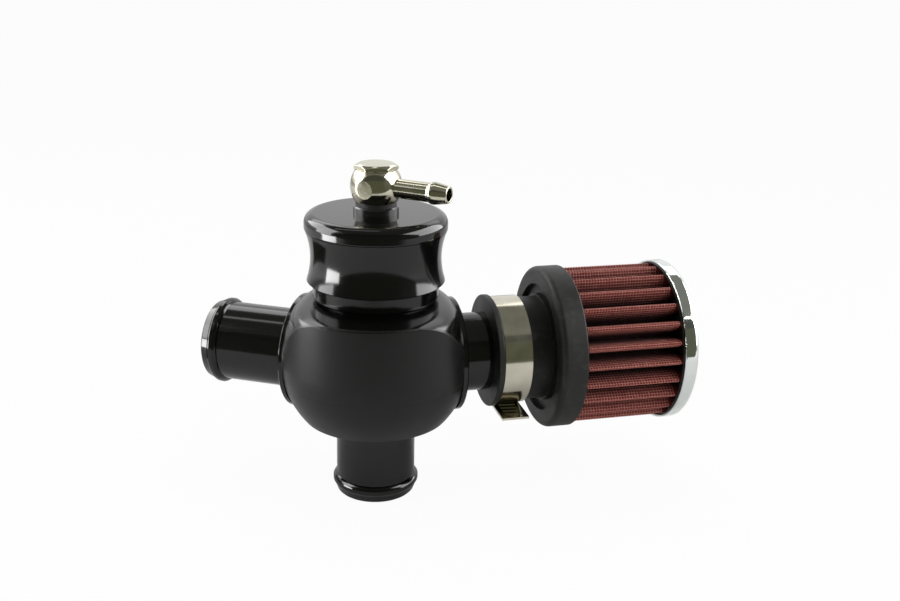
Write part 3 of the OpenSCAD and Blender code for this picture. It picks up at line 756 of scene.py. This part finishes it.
@dataclass
class BreatherFilter(SubAssembly):
    """The filter about the vent axis: rubber base, end rings, pleated gauze and its wire screen."""

    finishes: ClassVar[dict[str, Finish]] = {
        "filter_base": FILTER_RUBBER,
        "filter_media": COTTON,
        "filter_core": PISTON,
        "end_ring": FILTER_RUBBER,
        "end_cap": CHROME,
    }
    start: float = 57.5
    end: float = 94.6
    shown_start: float = 61.4
    shown_end: float = 93.1
    crest: float = 25.1
    fold: float = 7.8
    pleats: int = 25
    first_pleat: float = math.radians(-92.3)
    cloth: float = 1.2
    cloth_steps: int = 20
    cloth_rows: int = 5
    crisp_bend: float = math.radians(70)
    wire: float = 0.15
    wire_pitch: float = 0.95
    wire_steps: int = 14
    wire_sides: int = 5

    def radius(self, rule: Rule, angle: bpy.types.NodeSocket) -> bpy.types.NodeSocket:
        """Gives the pleats' radius at an angle: round crests and deep folds.

        Args:
            rule: tree that takes the nodes, with inputs First, Pleats, Crest and Root.
            angle: socket with the angle round the axis.

        Returns:
            Socket with the radius, in metres.
        """
        size = rule.inputs
        away = rule.node("ShaderNodeMath", {"operation": "SUBTRACT"}, {0: angle, 1: size["First"]})
        turn = rule.node("ShaderNodeMath", {"operation": "MULTIPLY"}, {0: away[0], 1: size["Pleats"]})
        swing = rule.node("ShaderNodeMath", {"operation": "COSINE"}, {0: turn[0]})
        reach = rule.node(
            "ShaderNodeMapRange",
            inputs={
                "Value": swing[0],
                FROM_MIN: -1.0,
                FROM_MAX: 1.0,
                TO_MIN: size["Root"],
                TO_MAX: size["Crest"],
            },
        )
        return reach[0]

    def cloth_mesh(self) -> bpy.types.Mesh:
        """Folds a closed tube of cloth into pleats.

        The grid's five rows are the near outer edge, the far outer edge, the far inner edge, the near
        inner edge and the near outer edge again, at heights -2 to 2. Rows 0 and 1 are the inner ones
        and rows -1 and 0 the far ones, so each pair lies within 0.7 of its middle.

        Returns:
            The mesh of the cloth.
        """
        rule = Rule(
            "pleated_cloth",
            {
                "Crest": self.crest * MM,
                "Root": (self.crest - self.fold) * MM,
                "First": self.first_pleat,
                "Pleats": self.pleats,
                "Columns": self.pleats * self.cloth_steps + 1,
                "Rows": self.cloth_rows,
                "Inward": -self.cloth * MM,
                "Length": (self.end - self.start) * MM,
                "Weave": self.pleats * 2 * self.fold / math.tau * MM,
            },
        )
        size = rule.inputs
        inner_middle, far_middle, within = 0.5, -0.5, 0.7
        grid = rule.node(
            "GeometryNodeMeshGrid",
            inputs={
                "Size X": 1.0,
                "Size Y": self.cloth_rows - 1.0,
                "Vertices X": size["Columns"],
                "Vertices Y": size["Rows"],
            },
        )
        at = rule.node("GeometryNodeInputPosition")
        across, row, _ = rule.node("ShaderNodeSeparateXYZ", inputs={0: at[0]})
        angle = rule.node("ShaderNodeMath", {"operation": "MULTIPLY"}, {0: across, 1: math.tau})
        inner = rule.node("ShaderNodeMath", {"operation": "COMPARE"}, {0: row, 1: inner_middle, 2: within})
        far = rule.node("ShaderNodeMath", {"operation": "COMPARE"}, {0: row, 1: far_middle, 2: within})
        reach = rule.node(
            "ShaderNodeMath",
            {"operation": "MULTIPLY_ADD"},
            {0: inner[0], 1: size["Inward"], 2: self.radius(rule, angle[0])},
        )
        height = rule.node("ShaderNodeMath", {"operation": "MULTIPLY"}, {0: far[0], 1: size["Length"]})
        flat = rule.node("ShaderNodeCombineXYZ", inputs={"X": reach[0], "Z": height[0]})
        spot = rule.node(
            "ShaderNodeVectorRotate", {"rotation_type": "Z_AXIS"}, {"Vector": flat[0], "Angle": angle[0]}
        )
        path = rule.node("ShaderNodeMath", {"operation": "MULTIPLY"}, {0: angle[0], 1: size["Weave"]})
        weave = rule.node("ShaderNodeCombineXYZ", inputs={"X": path[0], "Y": height[0]})
        kept = rule.node(
            "GeometryNodeStoreNamedAttribute",
            {"data_type": "FLOAT_VECTOR", "domain": "POINT"},
            {"Geometry": grid[0], "Name": "weave", "Value": weave[0]},
        )
        folded = rule.node("GeometryNodeSetPosition", inputs={"Geometry": kept[0], "Position": spot[0]})
        joined = rule.node(
            "GeometryNodeMergeByDistance", inputs={"Geometry": folded[0], "Distance": DOUBLES}
        )
        smooth = rule.node("GeometryNodeSetShadeSmooth", {"domain": "FACE"}, {0: joined[0]})
        bend = rule.node("GeometryNodeInputMeshEdgeAngle")
        crisp = rule.node(
            "ShaderNodeMath", {"operation": "GREATER_THAN"}, {0: bend[0], 1: self.crisp_bend}
        )
        edged = rule.node(
            "GeometryNodeSetShadeSmooth",
            {"domain": "EDGE"},
            {"Geometry": smooth[0], "Selection": crisp[0], "Shade Smooth": False},
        )
        place = Matrix.Translation((0, 0, self.start * MM))
        return rule.mesh(edged[0], COTTON, Spindle.VENT.matrix() @ place)

    def wire_mesh(self) -> bpy.types.Mesh:
        """Lays ring wires and straight wires over the pleats.

        Returns:
            The mesh of all the wires.
        """
        rings = int((self.shown_end - self.shown_start) / self.wire_pitch)
        span = (rings - 1) * self.wire_pitch
        margin = (self.shown_end - self.shown_start - span) / 2
        rule = Rule(
            "wire_screen",
            {
                "Crest": (self.crest + self.wire) * MM,
                "Root": (self.crest + self.wire - self.fold) * MM,
                "First": self.first_pleat,
                "Pleats": self.pleats,
                "Points": self.pleats * self.wire_steps,
                "Wire": self.wire * MM,
                "Sides": self.wire_sides,
                "Pitch": self.wire_pitch * MM,
                "Length": span * MM,
                "Rings": rings,
            },
        )
        size = rule.inputs
        circle = rule.node(
            "GeometryNodeCurvePrimitiveCircle", inputs={"Resolution": size["Points"], "Radius": 1.0}
        )
        at = rule.node("GeometryNodeInputPosition")[0]
        x, y, _ = rule.node("ShaderNodeSeparateXYZ", inputs={0: at})
        angle = rule.node("ShaderNodeMath", {"operation": "ARCTAN2"}, {0: y, 1: x})
        spot = rule.node(
            "ShaderNodeVectorMath",
            {"operation": "SCALE"},
            {0: at, "Scale": self.radius(rule, angle[0])},
        )
        pleat = rule.node(
            "GeometryNodeSetPosition", inputs={"Geometry": circle[0], "Position": spot[0]}
        )
        step = rule.node("ShaderNodeCombineXYZ", inputs={"Z": size["Pitch"]})
        row = rule.node("GeometryNodeMeshLine", inputs={"Count": size["Rings"], "Offset": step[0]})
        hoops = rule.node(
            "GeometryNodeInstanceOnPoints", inputs={"Points": row[0], "Instance": pleat[0]}
        )
        spaced = rule.node(
            "GeometryNodeResampleCurve",
            {"mode": "LENGTH"},
            {"Curve": pleat[0], "Length": size["Pitch"]},
        )
        top = rule.node("ShaderNodeCombineXYZ", inputs={"Z": size["Length"]})
        rod = rule.node("GeometryNodeCurvePrimitiveLine", inputs={"End": top[0]})
        rods = rule.node(
            "GeometryNodeInstanceOnPoints", inputs={"Points": spaced[0], "Instance": rod[0]}
        )
        both = add_node(rule.tree, "GeometryNodeJoinGeometry")
        for wires in (hoops, rods):
            rule.tree.links.new(wires[0], both.inputs[0])
        paths = rule.node("GeometryNodeRealizeInstances", inputs={0: both.outputs[0]})
        section = rule.node(
            "GeometryNodeCurvePrimitiveCircle",
            inputs={"Resolution": size["Sides"], "Radius": size["Wire"]},
        )
        screen = rule.node(
            "GeometryNodeCurveToMesh",
            inputs={"Curve": paths[0], "Profile Curve": section[0], "Fill Caps": True},
        )
        place = Matrix.Translation((0, 0, (self.shown_start + margin) * MM))
        return rule.mesh(screen[0], WIRE, Spindle.VENT.matrix() @ place)

    def build(self) -> None:
        """Dresses the CAD nodes and adds the cloth and the wires."""
        self.dress()
        show(self.cloth_mesh(), "pleated_gauze", Body.VALVE, stands_for="filter_media")
        show(self.wire_mesh(), "wire_screen", Body.VALVE)


@dataclass(frozen=True)
class Softbox:
    """A soft light: its place and size in millimetres, and the glow of its face, where 1 is white."""

    name: str
    place: Point
    size: tuple[float, float]
    glow: float


@dataclass(frozen=True)
class Card:
    """A card that only gloss sees: its two edges in millimetres, and its glow, where 1 is white."""

    name: str
    foot: tuple[Point, Point]
    top: tuple[Point, Point]
    shade: str = WHITE
    glow: float = 1.0


SOFTBOXES = (
    Softbox("left_softbox", (-620, -110, 240), (240, 560), 6.0),
    Softbox("right_softbox", (560, -240, 240), (220, 560), 4.0),
    Softbox("top_softbox", (0, 160, 820), (800, 360), 1.2),
)
# Bright cards make the streaks on wall, cap and plating; dark flags keep the front of the gloss black.
CARDS = (
    Card("left_strip", ((-250, -150, 6), (-250, -20, 6)), ((-250, -150, 62), (-250, -20, 62)), glow=20.0),
    Card("left_card", ((-250, -105, 70), (-250, 35, 70)), ((-250, -105, 330), (-250, 35, 330)), glow=8.0),
    Card(
        "left_back_card", ((-250, 35, 140), (-200, 200, 140)), ((-250, 35, 330), (-200, 200, 330)), glow=6.5
    ),
    Card("right_card", ((900, -700, 40), (900, 800, 40)), ((900, -700, 1030), (900, 800, 1030)), glow=7.0),
    Card(
        "left_rear_card",
        ((-590, 700, 465), (-150, 700, 465)),
        ((-590, 700, 960), (-150, 700, 960)),
        glow=3.0,
    ),
    Card(
        "right_rear_card", ((590, 700, 465), (150, 700, 465)), ((590, 700, 960), (150, 700, 960)), glow=2.0
    ),
    Card("overhead_strip", ((-600, 90, 900), (20, 90, 900)), ((-600, 170, 900), (20, 170, 900)), glow=3.0),
    Card("left_low_flag", ((-130, 0, 0), (-130, 110, 0)), ((-130, 0, 36), (-130, 110, 36)), "40413a"),
    Card(
        "low_front_flag",
        ((-800, -230, 0), (800, -230, 0)),
        ((-800, -230, 230), (800, -230, 230)),
        "5f6152",
    ),
    Card(
        "high_front_flag",
        ((-800, -230, 230), (800, -230, 230)),
        ((-900, -700, 1000), (900, -700, 1000)),
        "4f504a",
    ),
    Card(
        "ceiling_flag",
        ((-900, -700, 1000), (900, -700, 1000)),
        ((-900, 900, 1000), (900, 900, 1000)),
        "80817a",
    ),
)


@dataclass
class Studio:
    """Camera, pale floor, soft lights, cards and flags of the photograph's studio."""

    eye: Point = (24.43, -331.78, 176.26)
    right: Point = (0.9997, 0.0122, 0.0224)
    up: Point = (-0.0252, 0.3201, 0.9471)
    ahead: Point = (-0.0044, 0.9473, -0.3203)
    lens: float = 45.33
    sensor: float = 36
    nearest: float = 10
    aim: Point = (0, 0, 50)
    floor_half: float = 3000
    floor_grain: float = 400.0
    floor_shades: tuple[str, str] = ("f4f4f4", "fafafa")
    floor_glow: float = 0.95
    fill: float = 0.42

    def camera(self) -> None:
        """Sets the camera where the photograph was taken from."""
        data = bpy.data.cameras.new("camera")
        data.lens = self.lens
        data.sensor_width = self.sensor
        data.sensor_fit = "HORIZONTAL"
        data.clip_start = self.nearest * MM
        camera = bpy.data.objects.new("camera", data)
        columns = [Vector(self.right), Vector(self.up), -Vector(self.ahead)]
        turn = Matrix([[c[i] for c in columns] for i in range(3)]).to_quaternion().to_matrix()
        camera.matrix_world = Matrix.Translation(Vector(self.eye) * MM) @ turn.to_4x4()
        bpy.context.scene.collection.objects.link(camera)
        bpy.context.scene.camera = camera

    def world(self) -> None:
        """Makes the background white to the eye and in mirrors, and a soft fill for the rest."""
        world = bpy.data.worlds.new("studio")
        bpy.context.scene.world = world
        world.use_nodes = True
        tree = world.node_tree
        tree.nodes.clear()
        ray = add_node(tree, "ShaderNodeLightPath").outputs
        seen = ray["Is Camera Ray"]
        for kind in ("Is Glossy Ray", "Is Transmission Ray"):
            seen = add_node(
                tree, "ShaderNodeMath", {"operation": "MAXIMUM"}, {0: seen, 1: ray[kind]}
            ).outputs[0]
        strength = add_node(
            tree, "ShaderNodeMix", {"data_type": "FLOAT"}, {MIX: seen, NUMBER_A: self.fill, NUMBER_B: 1.0}
        )
        back = add_node(
            tree, "ShaderNodeBackground", inputs={"Color": linear(WHITE), "Strength": strength.outputs[0]}
        )
        add_node(tree, "ShaderNodeOutputWorld", inputs={"Surface": back.outputs[0]})

    def floor(self) -> None:
        """Lays a pale floor that keeps the part's soft shadow."""
        half = self.floor_half * MM
        corners = [(-half, -half, 0), (half, -half, 0), (half, half, 0), (-half, half, 0)]
        mesh = bpy.data.meshes.new("floor")
        mesh.from_pydata(corners, [], [(0, 1, 2, 3)])
        floor = bpy.data.objects.new("floor", mesh)
        bpy.context.scene.collection.objects.link(floor)
        paper = bpy.data.materials.new("studio_paper")
        paper.use_nodes = True
        tree = paper.node_tree
        tree.nodes.clear()
        grain = add_node(tree, "ShaderNodeTexNoise", inputs={"Scale": self.floor_grain})
        dark, light = (linear(code) for code in self.floor_shades)
        tone = add_node(
            tree,
            "ShaderNodeMix",
            {"data_type": "RGBA"},
            {MIX: grain.outputs[0], COLOUR_A: dark, COLOUR_B: light},
        )
        matt = add_node(tree, "ShaderNodeBsdfDiffuse", inputs={"Color": tone.outputs[COLOUR]})
        glow = add_node(tree, "ShaderNodeEmission", inputs={"Color": linear(WHITE), "Strength": 1.0})
        seen = add_node(tree, "ShaderNodeLightPath").outputs["Is Camera Ray"]
        share = add_node(tree, "ShaderNodeMath", {"operation": "MULTIPLY"}, {0: seen, 1: self.floor_glow})
        both = add_node(
            tree,
            "ShaderNodeMixShader",
            inputs={0: share.outputs[0], 1: matt.outputs[0], 2: glow.outputs[0]},
        )
        add_node(tree, "ShaderNodeOutputMaterial", inputs={"Surface": both.outputs[0]})
        mesh.materials.append(paper)

    def hang(self, box: Softbox) -> None:
        """Hangs a soft light that looks at the middle of the part; gloss shows the cards instead.

        Args:
            box: the light to hang.
        """
        data = bpy.data.lights.new(box.name, "AREA")
        data.shape = "RECTANGLE"
        data.size, data.size_y = (side * MM for side in box.size)
        data.energy = box.glow * math.pi * data.size * data.size_y
        lamp = bpy.data.objects.new(box.name, data)
        lamp.location = Vector(box.place) * MM
        aim = Vector(self.aim) * MM - lamp.location
        lamp.rotation_euler = aim.to_track_quat("-Z", "Z").to_euler()
        lamp.visible_glossy = False
        bpy.context.scene.collection.objects.link(lamp)

    def stand(self, card: Card) -> None:
        """Stands a card, bright or dark, that only gloss sees.

        Args:
            card: the card to stand.
        """
        corners = [Vector(corner) * MM for corner in (*card.foot, *reversed(card.top))]
        mesh = bpy.data.meshes.new(card.name)
        mesh.from_pydata(corners, [], [(0, 1, 2, 3)])
        sheet = bpy.data.objects.new(card.name, mesh)
        bpy.context.scene.collection.objects.link(sheet)
        paper = bpy.data.materials.new(card.name)
        paper.use_nodes = True
        tree = paper.node_tree
        tree.nodes.clear()
        face = add_node(
            tree, "ShaderNodeEmission", inputs={"Color": linear(card.shade), "Strength": card.glow}
        )
        add_node(tree, "ShaderNodeOutputMaterial", inputs={"Surface": face.outputs[0]})
        mesh.materials.append(paper)
        for kind in ("camera", "diffuse", "transmission", "shadow", "volume_scatter"):
            setattr(sheet, f"visible_{kind}", False)

    def build(self) -> None:
        """Sets up the whole studio."""
        self.camera()
        self.world()
        self.floor()
        for box in SOFTBOXES:
            self.hang(box)
        for card in CARDS:
            self.stand(card)


def main() -> None:
    """Builds the scene."""
    logging.basicConfig(level=logging.INFO, format="%(name)s: %(message)s")
    bpy.context.scene.view_settings.view_transform = "Standard"
    Studio().build()
    parts = (ValveBody(), PistonGroup(), CapGroup(), HoseFitting(), HoseClamp(), BreatherFilter())
    for part in parts:
        part.build()


if __name__ == "__main__":
    main()
